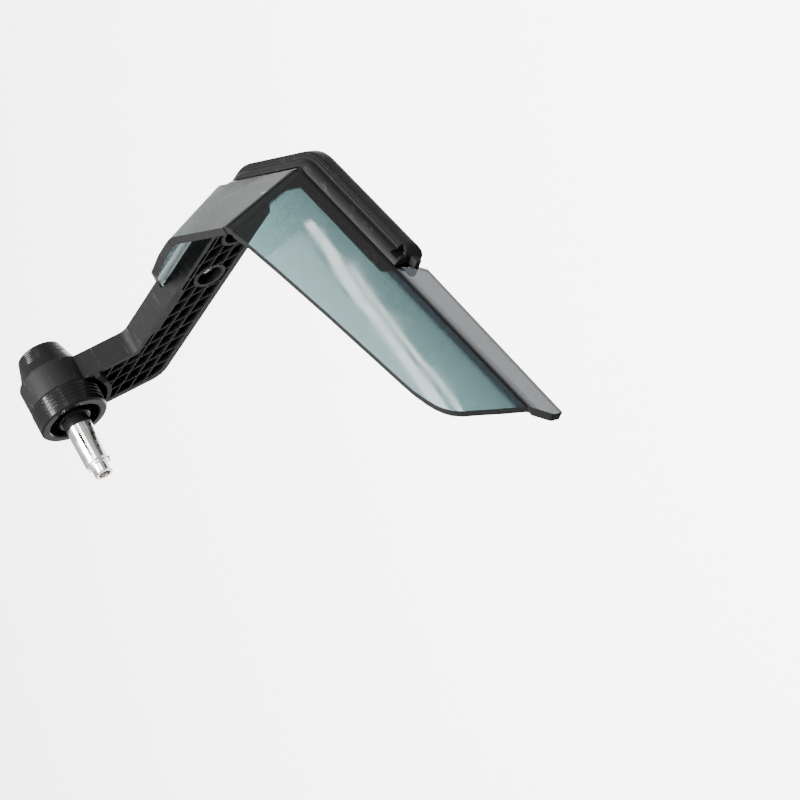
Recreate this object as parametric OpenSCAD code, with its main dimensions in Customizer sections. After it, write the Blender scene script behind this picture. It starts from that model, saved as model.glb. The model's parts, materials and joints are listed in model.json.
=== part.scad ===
// Left-hand brake or clutch lever guard with a wind visor, fixed in the end of a 22 mm handlebar.
// Frame: X inboard along the handlebar axis, Y forward, Z up. The origin is on the axis,
// in the plane of the spacer's inboard face. All sizes in millimetres.

/* [Bar end fixing] */
// Outer diameter of the expander sleeve, a slide fit in the handlebar tube
sleeve_d = 13.5; // [12.6:0.1:13.8]
// Distance of the sleeve's far end from the spacer's inboard face
sleeve_end = 26.6; // [24:0.2:32]
// Width of the four slots that let the sleeve spread
slot_w = 1.2; // [0.8:0.1:1.8]
// Diameter of the through bolt
bolt_d = 6; // [5:0.1:6.2]
// Outer diameter of the spacer
spacer_d = 36; // [33:0.2:38]
// Thickness of the spacer between the arm and the end of the handlebar
spacer_len = 12.6; // [10.6:0.1:15]
// Diameter of the recess that takes the end of the grip
recess_d = 26.8; // [24:0.1:28.4]
// Diameter of the hub that the end of the handlebar rests on
hub_d = 17.2; // [16:0.1:19]
// Diameter of the bar-end weight where it meets the arm
weight_d = 31.4; // [29:0.1:34]
// Diameter of the weight at its outer end
weight_end_d = 23.4; // [20:0.1:26]
// Length of the bar-end weight
weight_len = 13.6; // [12:0.1:18]

/* [Arm] */
// Thickness of the arm along the handlebar axis
arm_t = 14; // [12.6:0.1:15.5]
// Diameter of the round boss at the bar end
boss_d = 35.4; // [34:0.1:37]
// Slope of the first leg below the horizontal
leg_slope = 56; // [53:0.5:59]
// Height of the level leg
leg_h = 28.6; // [27.4:0.1:31]
// Depth of the lattice pocket
pocket_depth = 8; // [5:0.1:8.4]
// Thickness of the lattice ribs
rib_t = 0.75; // [0.6:0.05:1.6]
// Distance between the lattice ribs that run along the leg
rib_pitch = 7; // [5.6:0.1:9]

/* [Guard bar] */
// Distance of the first corner of the bar ahead of the handlebar axis
corner_y = 158.9; // [156:0.1:166]
// Width of the guard bar in plan
bar_w = 17; // [15.6:0.1:17.6]
// Height of the guard bar
bar_h = 15.4; // [14.4:0.1:18]
// Angle of the middle run away from straight ahead
turn_mid = 33.2; // [31:0.2:36]
// Angle of the front run away from straight ahead
turn_front = 76.4; // [73:0.2:79]
// Length of the middle run between its two corners
mid_len = 53.2; // [50:0.2:60]
// Length of the front run from its corner to the rounded end
front_len = 76.6; // [70:0.2:84]

/* [Visor] */
// Thickness of the visor sheet
visor_t = 4; // [3:0.1:4.4]
// Lean of the visor back from the vertical
visor_lean = 30; // [26:0.5:33]
// Height of the visor along its slope
visor_h = 45; // [40:0.5:52]
// Height of the front panel near its free end, along the slope
visor_tip_h = 34; // [29:0.5:37]
// Depth of the upright strip under the visor, past the end of the bar
strip_h = 14.8; // [12:0.1:16]
// Inset of the visor from the outer face of the bar
visor_inset = 6.9; // [6.6:0.1:7.4]
// Length of the front panel from its fold to its tip, at the height of the bar's top
reach = 179.6; // [172:0.2:184]

/* [Visor screws] */
// Distance of the first visor screw ahead of the handlebar axis
screw_y = 91.5; // [90:0.5:94]
// Distance between the two visor screws
screw_gap = 31.8; // [29:0.2:33]
// Thread diameter of the visor screws
screw_d = 5; // [4:0.1:5.4]
// Outer diameter of the ring walls round the screw heads
ring_d = 17.2; // [16:0.1:18]

/* [Hidden] */
$fn = 72;
// how far a corner or fold reaches into the straight parts beside it, and how much thinner it is
bite = 1;
lap = 0.5;
nip = 0.02;
eps = 0.02;
x_in = -spacer_len;
x_out = x_in - arm_t;
top_z = -28;
leg_low = top_z - leg_h;
leg_up_n = 12;
leg_low_n = -24.5;
rim_t = 2.4;
low_rim_t = 3;
bore_d = bolt_d + 0.5;
bush_d = bore_d + 5;
boss_rim = 1.4;
boss_x = x_out - boss_rim;
weight_x = boss_x - weight_len;
nose_x = 4.5;
nose_d = 13.8;
shroud_r = 24;
shroud_t = 2.4;
shroud_rise = 4.6;
floor_x = x_in - pocket_depth;
ring_r = ring_d / 2;
ring_wall = 2;
screw_z = -43.3;
screw_ys = [screw_y, screw_y + screw_gap];
step_y = screw_y + screw_gap + 9;
tab_low = screw_z - 9.6;
corner_r = bar_w + 1;
turn_in = turn_front - turn_mid;
gap = 0.15;
slot_depth = 10;
groove_depth = 0.55;
seam = -33;
visor_x = x_out + 0.2;
fold_in = 2.5;
fold_r = visor_t + fold_in;
side_in = 7;
side_r = visor_t + side_in;
fold_low = -fold_r * tan(visor_lean / 2);
d_mid = [sin(turn_mid), cos(turn_mid)];
n_mid = [cos(turn_mid), -sin(turn_mid)];
d_front = [sin(turn_front), cos(turn_front)];
n_front = [cos(turn_front), -sin(turn_front)];
c1 = [x_out, corner_y];
c2 = c1 + mid_len * d_mid;
// corners of the visor's front face, at the height of the bar's top
front_inset = visor_inset + 0.6;
v1 = [visor_x, corner_y + ((visor_x - x_out) * cos(turn_mid) - visor_inset) / sin(turn_mid)];
mix = cos(turn_in);
v2 = c2 + (visor_inset - mix * front_inset) / (1 - mix * mix) * n_mid
        + (front_inset - mix * visor_inset) / (1 - mix * mix) * n_front;
side_len = norm(v2 - v1);
bar_end_x = front_len - (v2 - c2) * d_front;
fold_1 = sin(visor_lean) * tan(turn_mid / 2);
fold_2 = sin(visor_lean) * tan(turn_in / 2);

// sheet folds: angle between the two faces, and where the flat part starts beside the fold line
function face_n(turn) = [-cos(turn) * cos(visor_lean), sin(turn) * cos(visor_lean), sin(visor_lean)];
function fold_angle(a, b) = acos(face_n(a) * face_n(b));
function fold_start(a, b, k) = side_r * tan(fold_angle(a, b) / 2) * sqrt(1 + k * k);

// turns a drawing whose axes are forward and up into a plate between x1 and x2
module plate_x(x1, x2) {
  translate([x1, 0, 0])
    rotate([90, 0, 90])
      linear_extrude(x2 - x1)
        children();
}

// turns a drawing whose axes are radius and X into a solid round the bolt axis
module turned() {
  rotate([0, 90, 0])
    rotate_extrude()
      children();
}

// places a part on the X axis of each visor screw
module at_screws() {
  for (y = screw_ys)
    translate([0, y, screw_z])
      children();
}

// a straight run of a section, from y = 0 forward
module run(len) {
  translate([0, len, 0])
    rotate([90, 0, 0])
      linear_extrude(len)
        children();
}

// frames of the guard bar's runs: x inwards from the outer face, y along the run
module at_run(corner, turn) {
  translate([corner[0], corner[1], top_z])
    rotate([0, 0, -turn])
      children();
}

// a corner of the bar, which starts inside the end of a run and turns inboard into the next
module bend(angle) {
  translate([corner_r, 0, 0])
    rotate([0, 0, 180 - angle - bite])
      rotate_extrude(angle = angle + 2 * bite)
        translate([corner_r, 0])
          mirror([1, 0])
            translate([bar_w / 2, -bar_h / 2])
              scale(1 - 2 * nip / bar_h)
                translate([-bar_w / 2, bar_h / 2])
                  bar_section();
}

// the arm in side view, from the boss to the guard bar
module arm_outline() {
  s = sin(leg_slope);
  c = cos(leg_slope);
  up_r = 6;
  low_r = 12;
  cut = low_r * tan(leg_slope / 2);
  up_y = (leg_up_n - top_z * c) / s;
  low_y = (leg_low_n - leg_low * c) / s;
  up_c = [(leg_up_n + up_r - (top_z + up_r) * c) / s, top_z + up_r];
  circle(r = boss_d / 2 - 3);
  polygon([[0, 0],
           [leg_low_n * s, leg_low_n * c],
           [-boss_d / 2 * 0.97, boss_d / 2 * 0.1]]);
  polygon([[0, 0],
           [leg_low_n * s, leg_low_n * c],
           [low_y - cut * c, leg_low + cut * s],
           [low_y + cut, leg_low + low_r],
           [low_y + cut, leg_low],
           [step_y + 4, leg_low],
           [step_y + 11, leg_low + 4.5],
           [step_y + 20, top_z - bar_h + 1],
           [step_y, top_z - bar_h + 4],
           [step_y, top_z],
           [up_y, top_z],
           [leg_up_n * s, leg_up_n * c]]);
  translate([low_y + cut, leg_low + low_r])
    circle(r = low_r);
  difference() {
    polygon([[up_y - 2, top_z - 2],
             [up_c[0], top_z - 2],
             up_c,
             [up_c[0] - up_r * s, up_c[1] - up_r * c],
             [up_c[0] - (up_r + 2) * s, up_c[1] - (up_r + 2) * c]]);
    translate(up_c)
      circle(r = up_r);
  }
}

// the lattice pocket in side view
module pocket_outline() {
  s = sin(leg_slope);
  c = cos(leg_slope);
  up_n = leg_up_n - rim_t;
  low_n = leg_low_n + low_rim_t;
  up_z = top_z - rim_t;
  low_z = leg_low + low_rim_t;
  up_y = (up_n - up_z * c) / s;
  low_y = (low_n - low_z * c) / s;
  difference() {
    polygon([[up_n * s, up_n * c],
             [up_y, up_z],
             [49, up_z],
             [50, up_z - 3],
             [screw_y - 10, up_z - 3],
             [screw_y - 8.5, up_z],
             [step_y - 2, up_z],
             [step_y - 2, low_z + 6],
             [step_y - 6, low_z],
             [low_y + 5, low_z],
             [low_y - 2.6, low_z + 4],
             [low_n * s, low_n * c]]);
    circle(r = shroud_r - eps);
  }
}

// the groove between the boss and the shroud round it, inside the leg's rims
module shroud_groove() {
  intersection() {
    difference() {
      circle(r = shroud_r - shroud_t);
      circle(r = boss_d / 2 - 2);
    }
    rotate(-leg_slope)
      translate([6, leg_low_n + low_rim_t])
        square([shroud_r, leg_up_n - rim_t - leg_low_n - low_rim_t]);
  }
}

// the shroud's height along the leg, sloped down to the leg's upper rim
module shroud_room() {
  rotate([-leg_slope, 0, 0])
    translate([0, shroud_r + 9, 0])
      rotate([90, 0, 0])
        linear_extrude(shroud_r)
          polygon([[floor_x - 1, leg_low_n],
                   [x_in + shroud_rise, leg_low_n],
                   [x_in + shroud_rise, 7],
                   [x_in + 2.6, leg_up_n - 0.1],
                   [floor_x - 1, leg_up_n - 0.1]]);
}

// the round boss that the bolt goes through
module boss() {
  r = boss_d / 2;
  turned()
    polygon([[0, boss_x],
             [r - 1.4, boss_x],
             [r - 0.5, boss_x + 0.5],
             [r, boss_x + boss_rim],
             [r, x_in - 0.4],
             [r - 0.4, x_in],
             [0, x_in]]);
}

// ribs of the lattice in side view
module lattice() {
  for (i = [-2 : 3])
    translate([-20, -39.5 + i * rib_pitch - rib_t / 2])
      square([180, rib_t]);
  for (i = [-3 : 11])
    translate([12.7 + i * 10.6, -40])
      rotate(-52)
        square([90, rib_t], center = true);
}

// points of an arc in the bar's section, from one angle to another
function arc(x, y, r, a1, a2, n) =
  [for (i = [0 : n]) [x + r * cos(a1 + (a2 - a1) * i / n), y + r * sin(a1 + (a2 - a1) * i / n)]];

// the guard bar in section: x inwards from the outer face, y up from the top face
module bar_section() {
  crest = [3.3, -4.75];
  foot = [0.4, -6.85];
  along = (foot - crest) / norm(foot - crest);
  inward = [-along[1], along[0]];
  grooves = [for (k = [0, 0.46, 0.765, 1])
              for (s = [[-0.26, 0], [-0.13, 1], [0.13, 1], [0.26, 0]])
                crest + (foot - crest) * k + along * s[0] + inward * s[1] * groove_depth];
  polygon(concat(arc(8.2, -4.55, 4.6, 90, 180, 8),
                 grooves,
                 [[0, -7.6]],
                 arc(4, 4 - bar_h, 4, 180, 270, 5),
                 arc(bar_w - 3, 3 - bar_h, 3, 270, 360, 4),
                 arc(bar_w - 1.6, -1.6, 1.6, 0, 90, 3)));
}

// carries on from the end of a corner of the bar
module after_bend(angle) {
  translate([corner_r, 0, 0])
    rotate([0, 0, -angle])
      translate([-corner_r, 0, 0])
        children();
}

// plan of the bar's first run, which widens from the arm
module first_run_plan(len) {
  polygon([[-1, step_y - 1],
           [arm_t, step_y - 1],
           [arm_t, step_y + 1],
           [bar_w + 1, len - 6],
           [bar_w + 1, len + 1],
           [-1, len + 1]]);
}

// the whole bar: a run along the arm, two corners, and the front run with its rounded end
module guard_bar() {
  t1 = corner_r * tan(turn_mid / 2);
  t2 = corner_r * tan(turn_in / 2);
  at_run([x_out, 0], 0) {
    intersection() {
      translate([0, step_y - 0.5, 0])
        run(corner_y - t1 - step_y + 0.5)
          bar_section();
      translate([0, 0, -bar_h - 1])
        linear_extrude(bar_h + 2)
          first_run_plan(corner_y - t1);
    }
    translate([0, corner_y - t1, 0]) {
      bend(turn_mid);
      after_bend(turn_mid) {
        run(mid_len - t1 - t2)
          bar_section();
        translate([0, mid_len - t1 - t2, 0]) {
          bend(turn_in);
          after_bend(turn_in)
            intersection() {
              run(front_len - t2)
                bar_section();
              translate([0, 0, -bar_h - 1])
                linear_extrude(bar_h + 2)
                  bar_end_plan(front_len - t2);
            }
        }
      }
    }
  }
}

// plan of the front run, round at its end
module bar_end_plan(len) {
  translate([-1, -1])
    square([bar_w + 2, len - 8]);
  translate([0, len - 10])
    square([8, 4]);
  translate([6, len - 10])
    square([bar_w - 15, 10]);
  translate([6, len - 6])
    circle(r = 6);
  translate([bar_w - 9, len - 9])
    circle(r = 9);
}

// plan of the pit inside the bar's rounded end
module end_pit() {
  intersection() {
    translate([6, -6])
      circle(r = 4.8);
    translate([1, -6.4])
      square([4, 6]);
  }
}

// plan of the slot for the visor in the bar
module slot_plan(start, stop) {
  t = visor_t + gap;
  k = tan(turn_in / 2);
  polygon([v1 - n_mid * gap + d_mid * start,
           v2 - n_mid * gap + d_mid * gap * k,
           v2 - n_front * gap + d_front * stop,
           v2 + n_front * t + d_front * stop,
           v2 + n_mid * t - d_mid * t * k,
           v1 + n_mid * t + d_mid * start]);
}

// a prism square to a leaning panel: x along its base, y up its slope, thickness inwards
module panel(corner, turn, from, to) {
  translate([corner[0], corner[1], top_z])
    rotate([90 + visor_lean, 0, 90 - turn])
      translate([0, 0, from])
        linear_extrude(to - from)
          children();
}

// a prism square to the upright strip, in the same way
module upright(corner, turn, from, to) {
  translate([corner[0], corner[1], top_z])
    rotate([90, 0, 90 - turn])
      translate([0, 0, from])
        linear_extrude(to - from)
          children();
}

// the sheet in section, upright below and leaning above: x inwards, y up from the bar's top
module sheet_section(depth) {
  top = visor_h + 5;
  steps = 6;
  lean = [for (i = [0 : steps]) 180 - visor_lean * i / steps];
  polygon(concat([[0, -depth]],
                 [for (a = lean) [fold_r + fold_r * cos(a), fold_low + fold_r * sin(a)]],
                 [[top * sin(visor_lean), top * cos(visor_lean)],
                  [top * sin(visor_lean) + visor_t * cos(visor_lean),
                   top * cos(visor_lean) - visor_t * sin(visor_lean)]],
                 [for (i = [steps : -1 : 0])
                   [fold_r + fold_in * cos(lean[i]), fold_low + fold_in * sin(lean[i])]],
                 [[visor_t, -depth]]));
}

// a straight stretch of the sheet, before it is trimmed
module sheet(corner, turn, start, stop, depth) {
  at_run(corner, turn)
    translate([0, start, 0])
      run(stop - start)
        sheet_section(depth);
}

// the round fold between two leaning panels, from one height to another along the fold
module side_fold(corner, turn_a, turn_b, start, stop) {
  na = face_n(turn_a);
  nb = face_n(turn_b);
  ang = fold_angle(turn_a, turn_b);
  f = cross(nb, na) / norm(cross(nb, na));
  g = cross(f, nb);
  p = [corner[0], corner[1], top_z] - (na + nb) / norm(na + nb) * side_r / cos(ang / 2);
  ro = side_r - nip;
  ri = side_in + nip;
  steps = 10;
  turn = [for (i = [0 : steps]) ang * i / steps];
  multmatrix([[nb[0], g[0], f[0], p[0]],
              [nb[1], g[1], f[1], p[1]],
              [nb[2], g[2], f[2], p[2]],
              [0, 0, 0, 1]])
    translate([0, 0, start])
      linear_extrude(stop - start)
        polygon(concat([[ri, -lap], [ro, -lap]],
                       [for (a = turn) [ro * cos(a), ro * sin(a)]],
                       [[ro * cos(ang) - lap * sin(ang), ro * sin(ang) + lap * cos(ang)],
                        [ri * cos(ang) - lap * sin(ang), ri * sin(ang) + lap * cos(ang)]],
                       [for (i = [steps : -1 : 0]) [ri * cos(turn[i]), ri * sin(turn[i])]]));
}

// what is trimmed off each leaning panel: x along its base, y up its slope
module flange_trim() {
  e = fold_start(0, turn_mid, fold_1);
  y0 = -v1[1];
  far = visor_h + 20;
  low_edge = -fold_low + 0.3;
  polygon([[-e + fold_1 * 60, -60],
           [-e - fold_1 * far, far],
           [60, far],
           [60, -60]]);
  polygon([[20, visor_h],
           [y0 + step_y - 3.8, visor_h],
           [y0 + step_y - 6, visor_h - 0.6],
           [y0 + screw_y + 15.5, visor_h * 0.76],
           [y0 + screw_y + 12.8, visor_h * 0.715],
           [y0 + screw_y - 15, low_edge + 2],
           [y0 + screw_y - 16.3, low_edge],
           [y0 + screw_y - 16.6, -60],
           [y0 - 20, -60],
           [y0 - 20, far],
           [20, far]]);
  translate([y0 - 20, -60])
    square([screw_y - 11.5 + 20, 60 + low_edge]);
  translate([y0 + step_y - 1, -60])
    square([60, 60 + low_edge]);
}

module side_trim() {
  e = fold_start(0, turn_mid, fold_1);
  g = fold_start(turn_mid, turn_front, fold_2);
  far = visor_h + 20;
  low_edge = -fold_low + 0.3;
  polygon([[e - fold_1 * 60, -60],
           [e + fold_1 * far, far],
           [-60, far],
           [-60, -60]]);
  polygon([[side_len - g - fold_2 * low_edge, low_edge],
           [side_len - g - fold_2 * far, far],
           [side_len + 30, far],
           [side_len + 30, low_edge]]);
  translate([-30, visor_h])
    square([side_len + 60, 30]);
  translate([-30, -60])
    square([38, 60 + low_edge]);
}

module main_trim() {
  g = fold_start(turn_mid, turn_front, fold_2);
  drop = visor_h - visor_tip_h;
  far = visor_h + 20;
  low_edge = -fold_low + 0.3;
  polygon([[g + fold_2 * low_edge, low_edge],
           [g + fold_2 * far, far],
           [-30, far],
           [-30, low_edge]]);
  polygon([[-30, visor_h],
           [g + fold_2 * visor_h, visor_h],
           [23, visor_h - 0.17 * drop],
           [41, visor_h - 0.345 * drop],
           [59, visor_h - 0.5 * drop],
           [77, visor_h - 0.645 * drop],
           [94, visor_h - 0.77 * drop],
           [reach - 58.6, visor_h - 0.955 * drop],
           [reach - 51.6, visor_tip_h - 0.1],
           [reach - 44.8, visor_tip_h - 0.8],
           [reach - 37.3, visor_tip_h - 2.2],
           [reach - 32.6, visor_tip_h - 3.6],
           [reach - 29, visor_tip_h - 5.2],
           [reach - 25.7, visor_tip_h - 7.4],
           [reach - 22.7, visor_tip_h - 10.6],
           [reach - 19.2, visor_tip_h - 16],
           [reach - 13.5, 9.8],
           [reach - 7.5, 0.4],
           [reach + 10, 0.4],
           [reach + 10, far],
           [-30, far]]);
}

// what is trimmed off the strip below the front panel: x along it, y up from the bar's top
module strip_trim() {
  deep = -strip_h - 8;
  polygon([[bar_end_x + 1.5, -slot_depth],
           [bar_end_x + 5.5, -strip_h - 1],
           [reach - 5.6, 1 - strip_h],
           [reach - 0.3, 1 - strip_h],
           [reach, -9],
           [reach - 0.8, -7.6],
           [reach - 7.9, 1],
           [reach + 10, 1],
           [reach + 10, deep],
           [-40, deep],
           [-40, -slot_depth]]);
}

module guard_arm() {
  color([0.13, 0.13, 0.13])
    difference() {
      union() {
        difference() {
          plate_x(x_out, x_in)
            arm_outline();
          plate_x(floor_x, x_in + 1)
            pocket_outline();
          plate_x(floor_x, x_in + 1)
            shroud_groove();
        }
        plate_x(floor_x - 0.5, x_in)
          intersection() {
            lattice();
            pocket_outline();
          }
        at_screws()
          translate([floor_x - 0.5, 0, 0])
            rotate([0, 90, 0])
              cylinder(h = pocket_depth + 0.5, r = ring_r);
        intersection() {
          plate_x(floor_x - 0.5, x_in + shroud_rise)
            difference() {
              circle(r = shroud_r);
              circle(r = shroud_r - shroud_t);
            }
          shroud_room();
        }
        boss();
        guard_bar();
        at_run(c2, turn_front)
          translate([3.2, front_len - 2, -11.2])
            cube([front_inset - gap - 3.2, 6, 2.8]);
      }
      at_screws()
        rotate([0, 90, 0])
          translate([0, 0, floor_x + 1])
            cylinder(h = pocket_depth + 10, r = ring_r - ring_wall);
      at_screws()
        rotate([0, 90, 0])
          translate([0, 0, x_out - 1])
            cylinder(h = arm_t + 2, d = screw_d + 0.5);
      translate([boss_x - 1, 0, 0])
        rotate([0, 90, 0])
          cylinder(h = arm_t + boss_rim + 2, d = bush_d);
      translate([x_out - 1, screw_y - 12.6, tab_low - 0.2])
        cube([visor_x - x_out + 1.05 + visor_t, step_y - screw_y + 12.6, 60]);
      translate([x_out - 1, screw_y - 17.5, top_z - 2.6])
        cube([visor_x - x_out + 1.5 + visor_t, 10, 40]);
      translate([0, 0, top_z - slot_depth])
        linear_extrude(40)
          slot_plan(-0.4, bar_end_x + 8);
      panel(v1, 0, -gap, visor_t + gap)
        translate([screw_y - 18 - v1[1], -0.5])
          square([v1[1] - screw_y + 18, 10]);
      panel(v1, turn_mid, -gap, visor_t + gap)
        translate([0, -0.5])
          square([side_len, 10]);
      panel(v2, turn_front, -gap, visor_t + gap)
        translate([0, -0.5])
          square([bar_end_x + 12, 10]);
      at_run(v2, turn_front)
        translate([visor_t + 0.6, 2.2, -1.5])
          cylinder(h = 4, r = 1.7);
      at_run(c2, turn_front)
        translate([bar_w - 4.6, front_len - 16, 3.4 - bar_h])
          cube([12, 22, 5.4]);
      at_run(c2, turn_front)
        translate([0, front_len, -9.8])
          linear_extrude(12)
            end_pit();
    }
}

module visor() {
  thick = visor_t + 26;
  k = turn_in / 2;
  tab_x = [screw_y - 11.5, step_y - 1];
  color([0.62, 0.74, 0.75])
    difference() {
      union() {
        difference() {
          sheet([visor_x, 0], 0, screw_y - 19, v1[1] + 6, top_z - tab_low);
          panel(v1, 0, -12, thick)
            flange_trim();
          upright([visor_x, 0], 0, -1, visor_t + 1)
            for (x = tab_x)
              translate([x, tab_low - top_z])
                rotate(45)
                  square(4, center = true);
        }
        side_fold(v1, 0, turn_mid, 0.4 - fold_low, visor_h * sqrt(1 + fold_1 * fold_1) + 0.1);
        difference() {
          sheet(v1, turn_mid, 0, side_len + 4, slot_depth);
          panel(v1, turn_mid, -12, thick)
            side_trim();
          at_run(v1, turn_mid)
            translate([0, 0, -40])
              linear_extrude(100)
                polygon([[-8 * cos(k), side_len + 8 * sin(k)],
                         [60 * cos(k), side_len - 60 * sin(k)],
                         [70, side_len + 20],
                         [-8, side_len + 20]]);
        }
        side_fold(v2, turn_mid, turn_front, -fold_low - 0.3, visor_h * sqrt(1 + fold_2 * fold_2) + 0.1);
        difference() {
          sheet(v2, turn_front, -4, reach + 1.4, strip_h + 2);
          panel(v2, turn_front, -12, thick)
            main_trim();
          upright(v2, turn_front, -1, visor_t + 1)
            strip_trim();
          at_run(v2, turn_front)
            translate([0, 0, -40])
              linear_extrude(100)
                polygon([[-8 * cos(k), -8 * sin(k) - gap],
                         [60 * cos(k), 60 * sin(k) - gap],
                         [70, -20],
                         [-8, -20]]);
        }
      }
      at_screws()
        rotate([0, 90, 0])
          translate([0, 0, x_out - 5])
            cylinder(h = visor_t + 10, d = screw_d + 4);
    }
}

module spacer_ring() {
  r = spacer_d / 2;
  color([0.05, 0.05, 0.05])
    turned()
      difference() {
        polygon([[bore_d / 2, x_in],
                 [r - 0.6, x_in],
                 [r, x_in + 0.6],
                 [r, -0.9],
                 [r - 0.9, 0],
                 [recess_d / 2 + 0.6, 0],
                 [recess_d / 2, -0.6],
                 [recess_d / 2, -6],
                 [hub_d / 2, -6],
                 [hub_d / 2, -0.5],
                 [hub_d / 2 - 0.5, 0],
                 [nose_d / 2, 0],
                 [nose_d / 2, nose_x - 0.4],
                 [nose_d / 2 - 0.4, nose_x],
                 [bore_d / 2, nose_x]]);
        for (i = [0 : 3])
          translate([r, x_in + 2.6 + i * 2])
            circle(r = 0.25, $fn = 16);
      }
}

module bar_end_weight() {
  r1 = weight_d / 2;
  r2 = weight_end_d / 2;
  head_r = bolt_d / 2 + 2.9;
  n = 6;
  x0 = weight_x + 0.5;
  pitch = 1.25;
  slope = (r1 - r2) / (weight_len - 0.5);
  color([0.05, 0.05, 0.05])
    turned()
      polygon(concat([[bore_d / 2, boss_x],
                      [r1 - 0.3, boss_x],
                      [r1, boss_x - 0.4]],
                     [for (i = [n : -1 : 1])
                       for (k = [0 : 2])
                         let (x = x0 + i * pitch - k * pitch * 0.36)
                           [r2 + slope * (x - x0) - (k == 1 ? 0.24 : 0), x]],
                     [[r2 + slope * 0.4, x0 + 0.4],
                      [r2, weight_x + 0.4],
                      [r2 - 0.5, weight_x],
                      [head_r, weight_x],
                      [head_r, weight_x + 9.4],
                      [bore_d / 2, weight_x + 9.4]]));
}

module boss_bush() {
  color([0.6, 0.6, 0.62])
    translate([boss_x, 0, 0])
      rotate([0, 90, 0])
        difference() {
          cylinder(h = x_in - boss_x, d = bush_d);
          translate([0, 0, -1])
            cylinder(h = x_in - boss_x + 2, d = bore_d);
        }
}

module expander_sleeve() {
  r = sleeve_d / 2;
  color([0.75, 0.75, 0.76])
    rotate([38, 0, 0])
      difference() {
        rotate([seam, 0, 0])
          turned()
            polygon([[bore_d / 2, nose_x],
                     [r - 0.3, nose_x],
                     [r, nose_x + 0.3],
                     [r, sleeve_end - 0.4],
                     [r - 0.4, sleeve_end],
                     [r - 0.9, sleeve_end],
                     [r - 2.4, sleeve_end - 9],
                     [r - 2.4, nose_x + 5],
                     [bore_d / 2, nose_x + 4]]);
        for (a = [12, 102])
          rotate([a, 0, 0])
            translate([nose_x + 5.4, -20, -slot_w / 2])
              cube([60, 40, slot_w]);
      }
}

module wedge_nut() {
  r = sleeve_d / 2;
  w = slot_w - 0.1;
  x1 = sleeve_end - 8.4;
  x2 = sleeve_end + 1.2;
  color([0.42, 0.4, 0.38])
    rotate([38, 0, 0])
      difference() {
        union() {
          turned()
            polygon([[0, x1],
                     [r - 2.4, x1],
                     [r - 1, sleeve_end - 0.2],
                     [r - 1, x2],
                     [4.86, x2],
                     [4.86, sleeve_end + 6],
                     [4.4, sleeve_end + 6.4],
                     [0, sleeve_end + 6.4]]);
          for (a = [12, 102, 192, 282])
            rotate([a, 0, 0])
              translate([sleeve_end - 3, r - 2.6, -w / 2])
                cube([4.2, 2.5, w]);
        }
        rotate([0, 90, 0])
          cylinder(h = sleeve_end + 20, d = bolt_d + 0.06);
      }
}

module through_bolt() {
  r = bolt_d / 2;
  head_x = weight_x + 9.4 - 2.6;
  color([0.5, 0.46, 0.4])
    difference() {
      turned()
        polygon([[0, head_x - bolt_d],
                 [r + 1.6, head_x - bolt_d],
                 [r + 2, head_x - bolt_d + 0.4],
                 [r + 2, head_x],
                 [r, head_x],
                 [r, sleeve_end + 3.6],
                 [r - 0.7, sleeve_end + 4.4],
                 [0, sleeve_end + 4.4]]);
      translate([head_x - bolt_d - 1, 0, 0])
        rotate([0, 90, 0])
          cylinder(h = bolt_d / 2 + 1, d = bolt_d * 0.96, $fn = 6);
    }
}

module bolt_washer() {
  color([0.7, 0.7, 0.72])
    translate([weight_x + 9.4 - 1.2, 0, 0])
      rotate([0, 90, 0])
        difference() {
          cylinder(h = 1.2, d = bolt_d + 5.4);
          translate([0, 0, -1])
            cylinder(h = 4, d = bore_d);
        }
}

module bolt_lock_washer() {
  color([0.55, 0.55, 0.56])
    translate([weight_x + 9.4 - 2.6, 0, 0])
      rotate([0, 90, 0])
        difference() {
          cylinder(h = 1.4, d = bolt_d + 4.6);
          translate([0, 0, -1])
            cylinder(h = 4, d = bore_d);
          rotate([14, 0, 0])
            translate([1, -0.3, -1])
              cube([12, 0.6, 4]);
        }
}

module visor_screws() {
  r = screw_d / 2;
  seat = floor_x + 2;
  color([0.6, 0.6, 0.62])
    at_screws()
      difference() {
        turned()
          polygon([[0, visor_x - 3.6],
                   [r - 0.5, visor_x - 3.6],
                   [r, visor_x - 3.1],
                   [r, seat],
                   [r + 2.3, seat],
                   [r + 2.3, seat + 1],
                   [r + 1.5, seat + 2.5],
                   [0, seat + 3]]);
        translate([seat + 1, 0, 0])
          rotate([0, 90, 0])
            cylinder(h = 3, d = screw_d * 0.7, $fn = 6);
      }
}

module visor_washers() {
  color([0.6, 0.6, 0.62])
    at_screws()
      translate([floor_x + 1, 0, 0])
        rotate([0, 90, 0])
          difference() {
            cylinder(h = 1, d = screw_d + 6);
            translate([0, 0, -1])
              cylinder(h = 3, d = screw_d + 0.4);
          }
}

module visor_nuts() {
  color([0.1, 0.1, 0.1])
    at_screws()
      difference() {
        turned()
          polygon([[0, visor_x - 5.4],
                   [4.4, visor_x - 5.4],
                   [5.6, visor_x - 4.4],
                   [6.4, visor_x - 1.2],
                   [7, visor_x - 0.9],
                   [7, visor_x],
                   [0, visor_x]]);
        translate([visor_x - 3.8, 0, 0])
          rotate([0, 90, 0])
            cylinder(h = 6, d = screw_d + 0.06);
      }
}

module visor_bushes() {
  color([0.08, 0.08, 0.08])
    at_screws()
      translate([visor_x, 0, 0])
        rotate([0, 90, 0])
          difference() {
            cylinder(h = visor_t, d = screw_d + 4);
            translate([0, 0, -1])
              cylinder(h = visor_t + 2, d = screw_d + 0.2);
          }
}

guard_arm();
visor();
spacer_ring();
bar_end_weight();
boss_bush();
expander_sleeve();
wedge_nut();
through_bolt();
bolt_washer();
bolt_lock_washer();
visor_screws();
visor_washers();
visor_nuts();
visor_bushes();
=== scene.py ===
"""Looks of the hand guard: finishes, rounded edges, camera, light and floor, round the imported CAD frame."""
import json
import math

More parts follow.
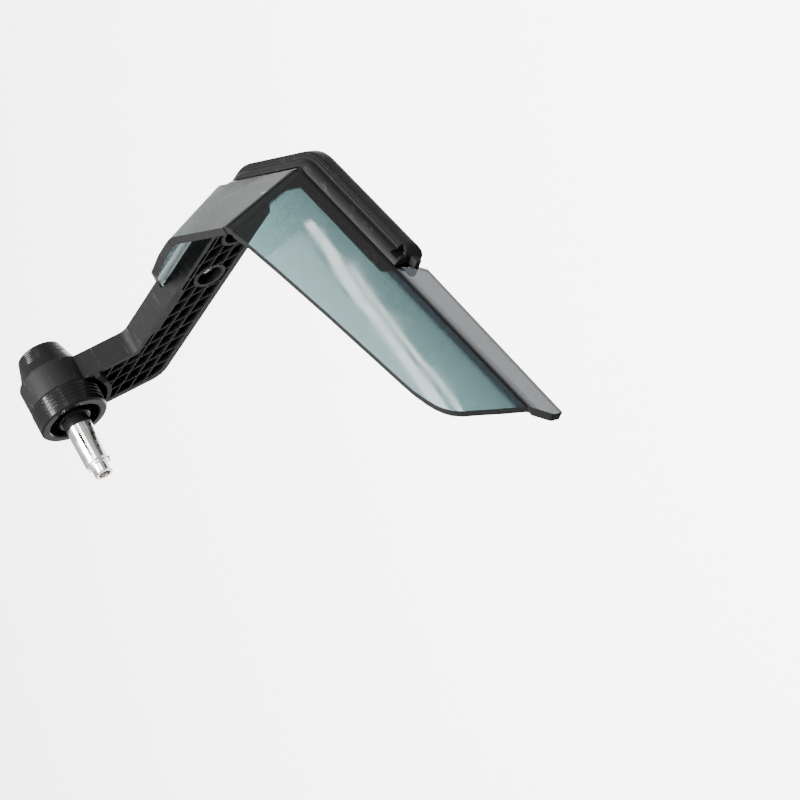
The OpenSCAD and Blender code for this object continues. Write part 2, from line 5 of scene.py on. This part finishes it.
import bpy
from mathutils import Euler, Matrix, Vector


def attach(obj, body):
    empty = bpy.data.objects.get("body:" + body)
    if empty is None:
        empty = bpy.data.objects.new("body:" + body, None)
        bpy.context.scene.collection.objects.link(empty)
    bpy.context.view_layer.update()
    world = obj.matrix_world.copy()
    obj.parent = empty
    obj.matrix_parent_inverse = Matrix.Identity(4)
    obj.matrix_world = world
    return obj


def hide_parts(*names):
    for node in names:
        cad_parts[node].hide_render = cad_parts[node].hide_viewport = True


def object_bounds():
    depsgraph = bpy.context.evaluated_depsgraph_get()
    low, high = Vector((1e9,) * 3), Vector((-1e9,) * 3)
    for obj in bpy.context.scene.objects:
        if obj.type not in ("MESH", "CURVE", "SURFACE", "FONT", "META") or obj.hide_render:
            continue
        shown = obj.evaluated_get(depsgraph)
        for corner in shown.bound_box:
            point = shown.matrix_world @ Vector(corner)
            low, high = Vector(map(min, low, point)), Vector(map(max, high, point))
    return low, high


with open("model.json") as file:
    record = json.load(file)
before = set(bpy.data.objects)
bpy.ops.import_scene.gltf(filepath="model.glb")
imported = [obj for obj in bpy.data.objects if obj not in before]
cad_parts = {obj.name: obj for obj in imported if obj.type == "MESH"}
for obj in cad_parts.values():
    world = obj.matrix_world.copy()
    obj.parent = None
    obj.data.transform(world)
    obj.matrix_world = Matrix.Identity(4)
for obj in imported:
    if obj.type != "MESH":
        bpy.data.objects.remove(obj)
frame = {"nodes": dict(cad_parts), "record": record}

bl_info = {
    "name": "Hand guard looks",
    "version": (1, 0, 0),
    "blender": (4, 5, 0),
    "location": "3D View > Sidebar > Hand guard",
    "description": "Finishes a lever guard with a smoke-tinted wind visor",
    "category": "Object",
}

MM = 0.001
ALONG_X = (1, 0, 0)
ALONG_Z = (0, 0, 1)
ROOT = "root"
CAD_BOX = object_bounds()


class GuardSizes(bpy.types.PropertyGroup):
    """Sizes of the details that are added to the CAD shapes"""

    moulded_round: bpy.props.FloatProperty(
        name="Moulded edge", description="Rounding of the arm's moulded edges",
        default=0.2 * MM, min=0.05 * MM, unit="LENGTH")
    sheet_round: bpy.props.FloatProperty(
        name="Sheet edge", description="Rounding of the visor's cut edges",
        default=0.3 * MM, min=0.05 * MM, unit="LENGTH")
    sheet_depth: bpy.props.FloatProperty(
        name="Sheet thickness", description="Thickness of the visor's sheet, which tells its cut edge",
        default=4 * MM, min=1 * MM, unit="LENGTH")
    turned_round: bpy.props.FloatProperty(
        name="Turned edge", description="Rounding of the edges of turned metal",
        default=0.12 * MM, min=0.02 * MM, unit="LENGTH")
    thread_pitch: bpy.props.FloatProperty(
        name="Thread pitch", description="Pitch of the through bolt's thread",
        default=1.0 * MM, min=0.5 * MM, unit="LENGTH")
    smoke_density: bpy.props.FloatProperty(
        name="Smoke density", description="How strongly a metre of the visor's sheet absorbs light",
        default=200, min=0)
    floor_drop: bpy.props.FloatProperty(
        name="Floor drop", description="Height of the guard above the floor",
        default=900 * MM, min=5 * MM, unit="LENGTH")
    # Radius of the floor's painted pool of light
    light_pool_radius: bpy.props.FloatProperty(
        name="Pale pool", description="Radius of the floor's palest part, which fills the picture",
        default=900 * MM, min=100 * MM, unit="LENGTH")


class GuardColours(bpy.types.PropertyGroup):
    """Colours of the finishes"""

    nylon: bpy.props.FloatVectorProperty(
        name="Nylon", description="Moulded black plastic of the arm", subtype="COLOR",
        default=(0.0045, 0.0045, 0.0045), min=0, max=1)
    smoke: bpy.props.FloatVectorProperty(
        name="Smoke sheet", description="Light that the visor lets through", subtype="COLOR",
        default=(0.275, 0.42, 0.43), min=0, max=1)
    # Painted shade: a near-black colour laid along the visor's bends so that they look dark
    fold_painted_shade: bpy.props.FloatVectorProperty(
        name="Fold tint", description="Tint gathered where the visor's sheet is bent", subtype="COLOR",
        default=(0.001, 0.0015, 0.003), min=0, max=1)
    root_tint: bpy.props.FloatVectorProperty(
        name="Root tint", description="Tint of the front panel beside its fold", subtype="COLOR",
        default=(0.033, 0.056, 0.056), min=0, max=1)
    tip_tint: bpy.props.FloatVectorProperty(
        name="Tip tint", description="Tint of the front panel at its free edge", subtype="COLOR",
        default=(0.11, 0.175, 0.175), min=0, max=1)
    side_tint: bpy.props.FloatVectorProperty(
        name="Side tint", description="Tint of the panel beside the arm", subtype="COLOR",
        default=(0.36, 0.46, 0.47), min=0, max=1)
    strip_tint: bpy.props.FloatVectorProperty(
        name="Strip tint", description="Tint of the strip that the bar holds", subtype="COLOR",
        default=(0.04, 0.04, 0.043), min=0, max=1)
    cut_edge: bpy.props.FloatVectorProperty(
        name="Cut edge", description="Matt edge that the saw leaves round the visor", subtype="COLOR",
        default=(0.006, 0.006, 0.006), min=0, max=1)
    gloss: bpy.props.FloatVectorProperty(
        name="Gloss black", description="Spacer and bar-end weight", subtype="COLOR",
        default=(0.003, 0.003, 0.003), min=0, max=1)
    bright: bpy.props.FloatVectorProperty(
        name="Bright metal", description="Polished sleeve and washers", subtype="COLOR",
        default=(0.93, 0.92, 0.90), min=0, max=1)
    steel: bpy.props.FloatVectorProperty(
        name="Plain steel", description="Bolt, nut and bush", subtype="COLOR",
        default=(0.33, 0.29, 0.24), min=0, max=1)
    rubber: bpy.props.FloatVectorProperty(
        name="Rubber", description="Bushes in the visor", subtype="COLOR",
        default=(0.02, 0.02, 0.02), min=0, max=1)
    floor: bpy.props.FloatVectorProperty(
        name="Floor", description="Pale studio floor", subtype="COLOR",
        default=(0.92, 0.92, 0.92), min=0, max=1)
    # Painted shade: the floor's darker colour outside its painted pool of light
    floor_painted_shade: bpy.props.FloatVectorProperty(
        name="Far floor", description="Studio floor away from the picture", subtype="COLOR",
        default=(0.3, 0.3, 0.3), min=0, max=1)


def sizes():
    return bpy.context.scene.guard_sizes


def colours():
    return bpy.context.scene.guard_colours


# Materials

class Finish:
    """A node material built round one Principled shader"""

    def __init__(self, name, colour, rough, metal=0.0, specular=0.5):
        self.mat = bpy.data.materials.new(name)
        self.mat.use_nodes = True
        self.tree = self.mat.node_tree
        self.shader = self.tree.nodes["Principled BSDF"]
        self.shader.inputs["Base Color"].default_value = (*colour, 1)
        self.shader.inputs["Roughness"].default_value = rough
        self.shader.inputs["Metallic"].default_value = metal
        self.shader.inputs["Specular IOR Level"].default_value = specular
        self.coords = self.tree.nodes.new("ShaderNodeTexCoord").outputs["Object"]

    def node(self, kind, **settings):
        node = self.tree.nodes.new(kind)
        for key, value in settings.items():
            setattr(node, key, value)
        return node

    def link(self, source, target):
        self.tree.links.new(source, target)

    def noise(self, scale, detail=3.0, stretch=(1, 1, 1), rough=0.5):
        """Cloudy pattern in the piece's own space, finer as its scale grows"""
        place = self.node("ShaderNodeMapping")
        place.inputs["Scale"].default_value = stretch
        self.link(self.coords, place.inputs["Vector"])
        noise = self.node("ShaderNodeTexNoise")
        noise.inputs["Scale"].default_value = scale
        noise.inputs["Detail"].default_value = detail
        noise.inputs["Roughness"].default_value = rough
        self.link(place.outputs["Vector"], noise.inputs["Vector"])
        return noise.outputs["Fac"]

    def ramp(self, source, low, high, start=0.3, stop=0.7):
        """Goes from low to high while the source goes from start to stop"""
        span = self.node("ShaderNodeMapRange")
        span.inputs["From Min"].default_value = start
        span.inputs["From Max"].default_value = stop
        span.inputs["To Min"].default_value = low
        span.inputs["To Max"].default_value = high
        self.link(source, span.inputs["Value"])
        return span.outputs["Result"]

    def tint(self, source, dark, light, start=0.3, stop=0.7):
        """Colours the piece from dark to light by a source"""
        mix = self.node("ShaderNodeMix", data_type="RGBA")
        mix.inputs["A"].default_value = (*dark, 1)
        mix.inputs["B"].default_value = (*light, 1)
        self.link(self.ramp(source, 0, 1, start, stop), mix.inputs["Factor"])
        self.link(mix.outputs["Result"], self.shader.inputs["Base Color"])

    def along(self, direction):
        """How far a point of the piece lies along a direction"""
        dot = self.node("ShaderNodeVectorMath", operation="DOT_PRODUCT")
        dot.inputs[1].default_value = direction
        self.link(self.coords, dot.inputs[0])
        return dot.outputs["Value"]

    def gradient(self, source, stops):
        """Colours at places along a source, blended between them"""
        low, high = stops[0][0], stops[-1][0]
        band = self.node("ShaderNodeValToRGB")
        keys = band.color_ramp.elements
        keys[0].color = (*stops[0][1], 1)
        keys[1].color = (*stops[-1][1], 1)
        for place, colour in stops[1:-1]:
            keys.new((place - low) / (high - low)).color = (*colour, 1)
        self.link(self.ramp(source, 0, 1, low, high), band.inputs["Fac"])
        return band.outputs["Color"]

    def vary_rough(self, source, low, high):
        self.link(self.ramp(source, low, high), self.shader.inputs["Roughness"])

    def bump(self, source, height, strength=1.0, below=None):
        bump = self.node("ShaderNodeBump")
        bump.inputs["Strength"].default_value = strength
        bump.inputs["Distance"].default_value = height
        self.link(source, bump.inputs["Height"])
        if below is not None:
            self.link(below, bump.inputs["Normal"])
        self.link(bump.outputs["Normal"], self.shader.inputs["Normal"])
        return bump.outputs["Normal"]


def shade(colour, factor):
    return tuple(min(1.0, c * factor) for c in colour)


# Level of the nylon's shine, and how many times paler its scuffs are
DULL = 0.03
SCUFF_PALER = 3.2


def nylon_finish(name):
    """Matt moulded plastic with pale scuffs, a soft unevenness and a fine grain"""
    finish = Finish(name, colours().nylon, rough=0.45, specular=DULL)
    scuffs = finish.noise(scale=110, detail=5, stretch=(1, 5, 2), rough=0.7)
    finish.tint(scuffs, colours().nylon, shade(colours().nylon, SCUFF_PALER), start=0.6, stop=0.72)
    finish.vary_rough(finish.noise(scale=160, detail=4), low=0.4, high=0.52)
    uneven = finish.bump(finish.noise(scale=90, detail=2), height=0.05 * MM, strength=0.25)
    finish.bump(finish.noise(scale=2600, detail=2), height=0.02 * MM, strength=0.35, below=uneven)
    return finish.mat


CLEAR = (1.0, 1.0, 1.0)
SHEET_IOR = 1.58
# Level across the fold between the side panel and the front panel, and where its painted shade starts and
# ends on it
ACROSS_FOLD = (0.818, 0.576, 0.0)
SIDE_FOLD = (115 * MM, 117 * MM, 120.5 * MM, 122.5 * MM)
# Heights across the fold above the strip, where its painted shade starts and ends, of the strip's foot and of
# the front panel's top
BAR_FOLD = (-31.5 * MM, -31 * MM, -27 * MM, -25.5 * MM)
STRIP_FOOT = -60 * MM
PANEL_TOP = 12 * MM
# Places along X where the side panel's tint starts, and where its slope down to the flange is matt
FLANGE = (-21 * MM, -17 * MM)
SLOPE = (-8 * MM, -4 * MM)
SLOPE_ROUGH = 0.32


def smoke_finish(name):
    """Clear sheet with a smoke tint that pales towards the front panel's top, and painted shade along its
    folds
    """
    finish = Finish(name, CLEAR, rough=SLOPE_ROUGH)
    finish.shader.inputs["Transmission Weight"].default_value = 1.0
    finish.shader.inputs["IOR"].default_value = SHEET_IOR
    polish = finish.node("ShaderNodeMix", data_type="FLOAT")
    polish.inputs["A"].default_value = SLOPE_ROUGH
    smears = finish.ramp(finish.noise(scale=60, detail=4), low=0.01, high=0.045)
    finish.link(smears, polish.inputs["B"])
    finish.link(finish.ramp(finish.along(ALONG_X), 0, 1, *SLOPE), polish.inputs["Factor"])
    finish.link(polish.outputs["Result"], finish.shader.inputs["Roughness"])
    finish.bump(finish.noise(scale=24, detail=1), height=1 * MM, strength=0.06)
    hue = colours()
    across = finish.along(ACROSS_FOLD)
    # Painted shade along the fold between the side panel and the front panel
    fold = finish.gradient(across, list(zip(SIDE_FOLD, (CLEAR, hue.fold_painted_shade, hue.fold_painted_shade, CLEAR))))
    # Down the front panel: the strip's tint, painted shade along the fold above the strip, then the panel's
    # tint from its root to its tip
    front = finish.gradient(finish.along(ALONG_Z), (
        (STRIP_FOOT, hue.strip_tint), (BAR_FOLD[0], hue.strip_tint),
        (BAR_FOLD[1], hue.fold_painted_shade), (BAR_FOLD[2], hue.fold_painted_shade),
        (BAR_FOLD[3], hue.root_tint), (PANEL_TOP, hue.tip_tint)))
    side = finish.gradient(finish.along(ALONG_X), list(zip(FLANGE, (CLEAR, hue.side_tint))))
    panels = finish.node("ShaderNodeMix", data_type="RGBA")
    finish.link(side, panels.inputs["A"])
    finish.link(front, panels.inputs["B"])
    finish.link(finish.ramp(across, 0, 1, *SIDE_FOLD[1:3]), panels.inputs["Factor"])
    tint = finish.node("ShaderNodeMix", data_type="RGBA", blend_type="MULTIPLY")
    tint.inputs["Factor"].default_value = 1.0
    finish.link(panels.outputs["Result"], tint.inputs["A"])
    finish.link(fold, tint.inputs["B"])
    finish.link(tint.outputs["Result"], finish.shader.inputs["Base Color"])
    depth = finish.node("ShaderNodeVolumeAbsorption")
    depth.inputs["Color"].default_value = (*hue.smoke, 1)
    depth.inputs["Density"].default_value = sizes().smoke_density
    finish.link(depth.outputs["Volume"],
                finish.tree.nodes["Material Output"].inputs["Volume"])
    return finish.mat


def cut_edge_finish():
    """Matt edge of the sheet, with fine marks of the saw"""
    edge = colours().cut_edge
    finish = Finish("sawn_edge", edge, rough=0.5, specular=0.02)
    finish.tint(finish.noise(scale=500), shade(edge, 0.9), shade(edge, 1.1))
    finish.vary_rough(finish.noise(scale=160, detail=4), low=0.45, high=0.6)
    finish.bump(finish.noise(scale=1400, detail=2), height=0.015 * MM, strength=0.3)
    return finish.mat


def gloss_finish(name):
    """Smooth black paint"""
    finish = Finish(name, colours().gloss, rough=0.2, specular=0.08)
    finish.vary_rough(finish.noise(scale=140, detail=4), low=0.12, high=0.2)
    return finish.mat


def bright_finish(name):
    """Polished metal with faint lines left by turning"""
    finish = Finish(name, colours().bright, rough=0.16, metal=1.0)
    lines = finish.noise(scale=900, stretch=(6, 1, 1))
    finish.vary_rough(finish.noise(scale=120, detail=4), low=0.1, high=0.24)
    finish.bump(lines, height=0.012 * MM, strength=0.3)
    return finish.mat


def steel_finish(name):
    """Dull plated steel, a little cloudy"""
    finish = Finish(name, colours().steel, rough=0.35, metal=1.0)
    clouds = finish.noise(scale=300, detail=4)
    finish.tint(clouds, shade(colours().steel, 0.75), shade(colours().steel, 1.25))
    finish.vary_rough(finish.noise(scale=200, detail=4), low=0.28, high=0.5)
    finish.bump(finish.noise(scale=1500, detail=2), height=0.015 * MM, strength=0.3)
    return finish.mat


def plastic_finish(name):
    """Half-gloss moulded plastic of the small parts"""
    finish = Finish(name, colours().nylon, rough=0.3, specular=0.2)
    finish.vary_rough(finish.noise(scale=180, detail=4), low=0.25, high=0.38)
    finish.bump(finish.noise(scale=1800, detail=2), height=0.012 * MM, strength=0.25)
    return finish.mat


def rubber_finish(name):
    """Matt rubber"""
    finish = Finish(name, colours().rubber, rough=0.75)
    finish.vary_rough(finish.noise(scale=300, detail=4), low=0.65, high=0.85)
    finish.bump(finish.noise(scale=1200), height=0.03 * MM, strength=0.4)
    return finish.mat


# Middle of the floor's painted pool of light, how many radii out the floor is fully dark with painted shade,
# and the floor's width in metres
LIGHT_POOL_CENTRE = (-460 * MM, -840 * MM)
LIGHT_POOL_FADE = 1.3
FLOOR_WIDTH = 40


def floor_height():
    return CAD_BOX[0][2] - sizes().floor_drop


def floor_finish():
    """Pale floor with a painted pool of light that fills the picture, and painted shade that darkens it
    outside the pool
    """
    finish = Finish("pale_floor", colours().floor, rough=0.8)
    away = finish.node("ShaderNodeVectorMath", operation="DISTANCE")
    away.inputs[1].default_value = (*LIGHT_POOL_CENTRE, floor_height())
    finish.link(finish.coords, away.inputs[0])
    # Painted pool of light: the floor darkens from the pool's edge outward into painted shade
    edge = sizes().light_pool_radius
    finish.tint(away.outputs["Value"], colours().floor, colours().floor_painted_shade,
                start=edge, stop=edge * LIGHT_POOL_FADE)
    finish.vary_rough(finish.noise(scale=30), low=0.75, high=0.9)
    finish.bump(finish.noise(scale=400, detail=2), height=0.05 * MM, strength=0.1)
    return finish.mat


MAKERS = {
    "black_nylon": nylon_finish,
    "smoke_sheet": smoke_finish,
    "gloss_black": gloss_finish,
    "bright_metal": bright_finish,
    "plain_steel": steel_finish,
    "black_plastic": plastic_finish,
    "black_rubber": rubber_finish,
}


def material(slot):
    """The finish of a material slot, made on its first use"""
    name = "finish_" + slot
    return bpy.data.materials.get(name) or MAKERS[slot](name)


def slot_of(node):
    parts = frame["record"]["subparts"]
    return next(p["material_slot"] for p in parts if p["node"] == node)


# Modelling steps that several pieces share

def alone(piece):
    """Selects one piece and nothing else"""
    if bpy.context.mode != "OBJECT":
        bpy.ops.object.mode_set(mode="OBJECT")
    bpy.ops.object.select_all(action="DESELECT")
    piece.select_set(True)
    bpy.context.view_layer.objects.active = piece


# How close corners are welded, below which angle faces are one, and above which an edge is rounded
WELD = 0.004 * MM
SHEET_WELD = 0.06 * MM
FLAT_ANGLE = math.radians(0.6)
SHARP_ANGLE = math.radians(35)
SHEET_SHARP_ANGLE = math.radians(40)


def merged_copy(node, name, merge=WELD):
    """A welded copy of a CAD node, its flat faces made whole again"""
    piece = bpy.data.objects.new(name, frame["nodes"][node].data.copy())
    bpy.context.scene.collection.objects.link(piece)
    alone(piece)
    bpy.ops.object.mode_set(mode="EDIT")
    bpy.ops.mesh.select_all(action="SELECT")
    bpy.ops.mesh.remove_doubles(threshold=merge)
    bpy.ops.mesh.customdata_custom_splitnormals_clear()
    bpy.ops.mesh.dissolve_limited(angle_limit=FLAT_ANGLE, delimit={"NORMAL"})
    bpy.ops.mesh.normals_make_consistent(inside=False)
    bpy.ops.object.mode_set(mode="OBJECT")
    return piece


def round_edges(piece, width, angle=SHARP_ANGLE, segments=2):
    """Rounds the sharp edges of a piece and smooths its shading"""
    alone(piece)
    bevel = piece.modifiers.new("round", "BEVEL")
    bevel.width = width
    bevel.segments = segments
    bevel.limit_method = "ANGLE"
    bevel.angle_limit = angle
    bevel.use_clamp_overlap = True
    bpy.ops.object.modifier_apply(modifier="round")
    bpy.ops.object.shade_smooth_by_angle(angle=angle)
    piece.modifiers.new("even", "WEIGHTED_NORMAL").keep_sharp = True
    bpy.ops.object.modifier_apply(modifier="even")


def paint(piece, *finishes):
    """Gives a piece its finishes, of which each face keeps the one with its number"""
    numbers = [face.material_index for face in piece.data.polygons]
    piece.data.materials.clear()
    for finish in finishes:
        piece.data.materials.append(finish)
    piece.data.polygons.foreach_set("material_index", numbers)


def finish_piece(piece, node, slot=None, extra=()):
    """Gives a piece its finish, and any extra ones, and lets it stand for a CAD node"""
    slot = slot or slot_of(node)
    paint(piece, material(slot), *extra)
    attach(piece, ROOT)
    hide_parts(node)


def dress_node(node):
    """Keeps a CAD node as it is, with its finish"""
    paint(frame["nodes"][node], material(slot_of(node)))


# The pieces

class GUARD_OT_arm(bpy.types.Operator):
    """Softens the edges of the moulded arm and gives it its nylon finish"""

    bl_idname = "guard.arm"
    bl_label = "Moulded arm"

    def execute(self, context):
        arm = merged_copy("guard_arm", "moulded_arm")
        round_edges(arm, sizes().moulded_round)
        finish_piece(arm, "guard_arm")
        return {"FINISHED"}


# The cut edge's place among the visor's finishes, the least depth behind a cut face in thicknesses of the
# sheet, and how far under a face that depth is measured from
ON_CUT_EDGE = 1
CUT_DEPTH = 1.25
UNDER_SKIN = 0.01 * MM


class GUARD_OT_visor(bpy.types.Operator):
    """Rounds the cut edges of the smoke-tinted sheet and leaves them matt"""

    bl_idname = "guard.visor"
    bl_label = "Wind visor"

    def cut_faces(self, sheet):
        """Numbers of the faces that lie across the sheet, whose far side is deeper than it is thick"""
        alone(sheet)
        bpy.context.view_layer.update()
        sheet.data.calc_loop_triangles()
        votes = {}
        for bit in sheet.data.loop_triangles:
            middle = sum((sheet.data.vertices[v].co for v in bit.vertices), Vector()) / 3
            inward = -bit.normal
            found, far, _, _ = sheet.ray_cast(middle + inward * UNDER_SKIN, inward)
            deep = not found or (far - middle).length > CUT_DEPTH * sizes().sheet_depth
            votes[bit.polygon_index] = votes.get(bit.polygon_index, 0) + (bit.area if deep else -bit.area)
        return [face for face, vote in votes.items() if vote > 0]

    def execute(self, context):
        sheet = merged_copy("visor", "wind_visor", merge=SHEET_WELD)
        for face in self.cut_faces(sheet):
            sheet.data.polygons[face].material_index = ON_CUT_EDGE
        round_edges(sheet, sizes().sheet_round, angle=SHEET_SHARP_ANGLE)
        finish_piece(sheet, "visor", extra=[cut_edge_finish()])
        return {"FINISHED"}


class GUARD_OT_bar_end(bpy.types.Operator):
    """Finishes the turned spacer and the bar-end weight"""

    bl_idname = "guard.bar_end"
    bl_label = "Spacer and weight"

    def execute(self, context):
        for node in ("spacer_ring", "bar_end_weight"):
            piece = merged_copy(node, "turned_" + node)
            round_edges(piece, sizes().turned_round)
            finish_piece(piece, node)
        return {"FINISHED"}


# Where the thread starts along the bolt, its depth in pitches and the number of steps in a turn of it
THREAD_START = 9 * MM
THREAD_DEPTH = 0.45
COIL_STEPS = 24


class GUARD_OT_expander(bpy.types.Operator):
    """Finishes the slotted sleeve, the wedge nut, the bolt and what they pass through"""

    bl_idname = "guard.expander"
    bl_label = "Expander and bolt"

    def cut_thread(self, bolt):
        """Thins the shank to a core and winds a ridge round it at the thread's pitch"""
        end = max(v.co.x for v in bolt.data.vertices)
        radius = max(math.hypot(v.co.y, v.co.z) for v in bolt.data.vertices if v.co.x > THREAD_START)
        depth = THREAD_DEPTH * sizes().thread_pitch
        alone(bolt)
        bpy.ops.object.mode_set(mode="EDIT")
        bpy.ops.mesh.select_all(action="SELECT")
        bpy.ops.mesh.bisect(plane_co=(THREAD_START, 0, 0), plane_no=(1, 0, 0), use_fill=True,
                            clear_outer=True)
        bpy.ops.mesh.inset(thickness=depth)
        bpy.ops.mesh.extrude_region_move(TRANSFORM_OT_translate={"value": (end - THREAD_START, 0, 0)})
        bpy.ops.object.mode_set(mode="OBJECT")
        # A square whose corners lie 1 from its middle, which the turn then sets on its corner
        bpy.ops.mesh.primitive_plane_add(size=math.sqrt(2))
        ridge = bpy.context.object
        bpy.ops.object.mode_set(mode="EDIT")
        bpy.ops.mesh.select_all(action="SELECT")
        bpy.ops.transform.rotate(value=math.pi / 4, orient_axis="Z", center_override=(0, 0, 0))
        bpy.ops.transform.resize(value=(depth, depth, 1), center_override=(0, 0, 0))
        bpy.ops.transform.translate(value=(THREAD_START + depth, radius - depth, 0))
        bpy.ops.object.mode_set(mode="OBJECT")
        turns = int((end - THREAD_START - 2 * depth) / sizes().thread_pitch)
        coil = ridge.modifiers.new("coil", "SCREW")
        coil.axis = "X"
        coil.screw_offset = sizes().thread_pitch
        coil.iterations = turns
        coil.steps = coil.render_steps = COIL_STEPS
        bpy.ops.object.modifier_apply(modifier="coil")
        bpy.ops.object.mode_set(mode="EDIT")
        bpy.ops.mesh.select_all(action="SELECT")
        bpy.ops.mesh.fill_holes(sides=4)
        bpy.ops.mesh.normals_make_consistent(inside=False)
        bpy.ops.object.mode_set(mode="OBJECT")
        bolt.select_set(True)
        bpy.context.view_layer.objects.active = bolt
        bpy.ops.object.join()
        return bolt

    def execute(self, context):
        for node in ("expander_sleeve", "wedge_nut"):
            piece = merged_copy(node, "fitted_" + node)
            round_edges(piece, sizes().turned_round)
            finish_piece(piece, node, "bright_metal")
        bolt = self.cut_thread(merged_copy("through_bolt", "threaded_bolt"))
        round_edges(bolt, sizes().turned_round / 3, segments=1)
        finish_piece(bolt, "through_bolt")
        for node in ("boss_bush", "bolt_washer", "bolt_lock_washer"):
            dress_node(node)
        return {"FINISHED"}


class GUARD_OT_fixings(bpy.types.Operator):
    """Finishes the screws, washers, nuts and bushes that hold the visor"""

    bl_idname = "guard.fixings"
    bl_label = "Visor fixings"

    def execute(self, context):
        for node in ("visor_screws", "visor_nuts", "visor_washers"):
            piece = merged_copy(node, "fitted_" + node)
            round_edges(piece, sizes().turned_round)
            finish_piece(piece, node)
        dress_node("visor_bushes")
        return {"FINISHED"}


# Camera, light and floor

CAMERA_AT = Vector((0.55834, 0.93573, 0.73541))
CAMERA_TURN = Euler([math.radians(a) for a in (-12.2854, 47.8061, 43.8679)])
CAMERA_LENS = 118.35
CAMERA_SENSOR = 36
CAMERA_REACH = 20
GUARD_MIDDLE = (0.05, 0.12, -0.02)
PANEL_MIDDLE = (0.11, 0.21, -0.01)
SKY = 0.6
# Name, place, size in metres and power in watts of each soft lamp
LAMPS = (
    ("overhead", (-0.1, 0.2, 2.2), (1.6, 1.6), 880),
    ("left", (-0.5, 1.0, 1.0), (0.12, 0.6), 5),
)
# Name, two ends, width and power of each thin lamp, which lies where the front panel mirrors it as a streak
STREAK_LAMPS = (
    ("sheen", (-1.0883, 1.1577, 0.2045), (-0.8988, 1.2635, 0.2305), 0.056, 0.11),
    ("streak", (-1.0946, 1.1702, 0.1659), (-0.87, 1.2897, 0.2081), 0.009, 0.12),
    ("thin_streak", (-1.0397, 1.2034, 0.1685), (-0.8614, 1.2987, 0.1981), 0.004, 0.04),
)


class GUARD_OT_stage(bpy.types.Operator):
    """Sets the camera, the soft lights and the pale floor"""

    bl_idname = "guard.stage"
    bl_label = "Stage"

    def execute(self, context):
        self.camera()
        self.floor()
        self.lights()
        return {"FINISHED"}

    def camera(self):
        data = bpy.data.cameras.new("photo_camera")
        data.lens = CAMERA_LENS
        data.sensor_width = CAMERA_SENSOR
        data.clip_end = CAMERA_REACH
        camera = bpy.data.objects.new("photo_camera", data)
        camera.location = CAMERA_AT
        camera.rotation_euler = CAMERA_TURN
        bpy.context.scene.collection.objects.link(camera)
        bpy.context.scene.camera = camera

    def floor(self):
        bpy.ops.mesh.primitive_plane_add(size=FLOOR_WIDTH, location=(*LIGHT_POOL_CENTRE, floor_height()))
        floor = bpy.context.object
        floor.name = "pale_floor"
        bpy.ops.object.transform_apply(location=True, rotation=True, scale=True)
        floor.data.materials.append(floor_finish())

    def lamp(self, name, at, size, power, aim=GUARD_MIDDLE):
        """A soft oblong lamp that faces a point"""
        light = bpy.data.lights.new(name, "AREA")
        light.shape = "RECTANGLE"
        light.size, light.size_y = size
        light.energy = power
        lamp = bpy.data.objects.new(name, light)
        lamp.location = at
        lamp.rotation_euler = (Vector(aim) - Vector(at)).to_track_quat("-Z", "Y").to_euler()
        bpy.context.scene.collection.objects.link(lamp)

    def streak_lamp(self, name, start, end, width, power):
        """A thin lamp from one point to another, turned to the front panel"""
        start, end = Vector(start), Vector(end)
        middle = (start + end) / 2
        along = (end - start).normalized()
        side = (middle - Vector(PANEL_MIDDLE)).cross(along).normalized()
        self.lamp(name, middle, ((end - start).length, width), power)
        turn = Matrix((along, side, along.cross(side))).transposed()
        bpy.data.objects[name].rotation_euler = turn.to_euler()

    def lights(self):
        world = bpy.data.worlds.new("studio")
        world.use_nodes = True
        world.node_tree.nodes["Background"].inputs["Color"].default_value = (1, 1, 1, 1)
        world.node_tree.nodes["Background"].inputs["Strength"].default_value = SKY
        bpy.context.scene.world = world
        for lamp in LAMPS:
            self.lamp(*lamp)
        for lamp in STREAK_LAMPS:
            self.streak_lamp(*lamp)


class GUARD_PT_panel(bpy.types.Panel):
    """Steps of the hand guard's looks, in order"""

    bl_label = "Hand guard"
    bl_idname = "GUARD_PT_panel"
    bl_space_type = "VIEW_3D"
    bl_region_type = "UI"
    bl_category = "Hand guard"

    def draw(self, context):
        for step in STEPS:
            self.layout.operator(step.bl_idname)
        for group in (context.scene.guard_sizes, context.scene.guard_colours):
            box = self.layout.box()
            for name in group.bl_rna.properties.keys():
                if name not in ("rna_type", "name"):
                    box.prop(group, name)


STEPS = (GUARD_OT_arm, GUARD_OT_visor, GUARD_OT_bar_end, GUARD_OT_expander, GUARD_OT_fixings,
         GUARD_OT_stage)
CLASSES = (GuardSizes, GuardColours, *STEPS, GUARD_PT_panel)


def register():
    for cls in CLASSES:
        bpy.utils.register_class(cls)
    bpy.types.Scene.guard_sizes = bpy.props.PointerProperty(type=GuardSizes)
    bpy.types.Scene.guard_colours = bpy.props.PointerProperty(type=GuardColours)


def unregister():
    del bpy.types.Scene.guard_colours
    del bpy.types.Scene.guard_sizes
    for cls in reversed(CLASSES):
        bpy.utils.unregister_class(cls)


def main():
    register()
    bpy.ops.guard.stage()
    bpy.ops.guard.arm()
    bpy.ops.guard.visor()
    bpy.ops.guard.bar_end()
    bpy.ops.guard.expander()
    bpy.ops.guard.fixings()


if __name__ == "__main__":
    main()
